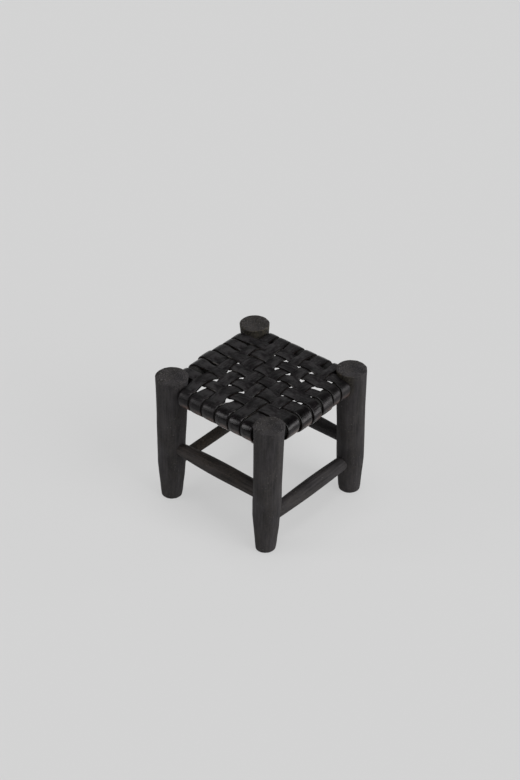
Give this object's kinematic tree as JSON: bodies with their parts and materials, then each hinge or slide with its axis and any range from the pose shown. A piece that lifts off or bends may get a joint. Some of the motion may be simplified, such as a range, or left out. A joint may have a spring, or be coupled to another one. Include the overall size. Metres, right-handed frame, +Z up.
{
  "type": "moroccan kursi stool",
  "caption": "Low square stool with whittled round legs, spindle stretchers and a seat of flat leather straps woven over round rails.",
  "frame": {"origin": "middle of the stool's outline on the floor, between the feet", "axes": "+Z up; the seat rails run along X and Y; +X from the left leg to the front leg, +Y from the front leg to the right leg"},
  "size_m": [0.2942, 0.292, 0.2715],
  "materials": {
    "stained_wood": "matt black stain over hand-whittled wood, with pale worn specks",
    "strap_leather": "black satin leather, glossy where it bends over the rails",
    "tack_steel": "dark blued steel"
  },
  "bodies": {
    "root": {"left_leg": "stained_wood", "front_leg": "stained_wood", "right_leg": "stained_wood", "back_leg": "stained_wood", "left_front_rail": "stained_wood", "back_right_rail": "stained_wood", "left_back_rail": "stained_wood", "front_right_rail": "stained_wood", "left_front_stretcher": "stained_wood", "back_right_stretcher": "stained_wood", "left_back_stretcher": "stained_wood", "front_right_stretcher": "stained_wood", "column_strap_1": "strap_leather", "column_strap_2": "strap_leather", "column_strap_3": "strap_leather", "column_strap_4": "strap_leather", "column_strap_5": "strap_leather", "column_strap_6": "strap_leather", "row_strap_1": "strap_leather", "row_strap_2": "strap_leather", "row_strap_3": "strap_leather", "row_strap_4": "strap_leather", "row_strap_5": "strap_leather", "row_strap_6": "strap_leather", "column_tack_1_low": "tack_steel", "column_tack_1_high": "tack_steel", "column_tack_2_low": "tack_steel", "column_tack_2_high": "tack_steel", "column_tack_3_low": "tack_steel", "column_tack_3_high": "tack_steel", "column_tack_4_low": "tack_steel", "column_tack_4_high": "tack_steel", "column_tack_5_low": "tack_steel", "column_tack_5_high": "tack_steel", "column_tack_6_low": "tack_steel", "column_tack_6_high": "tack_steel", "row_tack_1_low": "tack_steel", "row_tack_1_high": "tack_steel", "row_tack_2_low": "tack_steel", "row_tack_2_high": "tack_steel", "row_tack_3_low": "tack_steel", "row_tack_3_high": "tack_steel", "row_tack_4_low": "tack_steel", "row_tack_4_high": "tack_steel", "row_tack_5_low": "tack_steel", "row_tack_5_high": "tack_steel", "row_tack_6_low": "tack_steel", "row_tack_6_high": "tack_steel"}
  },
  "joints": []
}
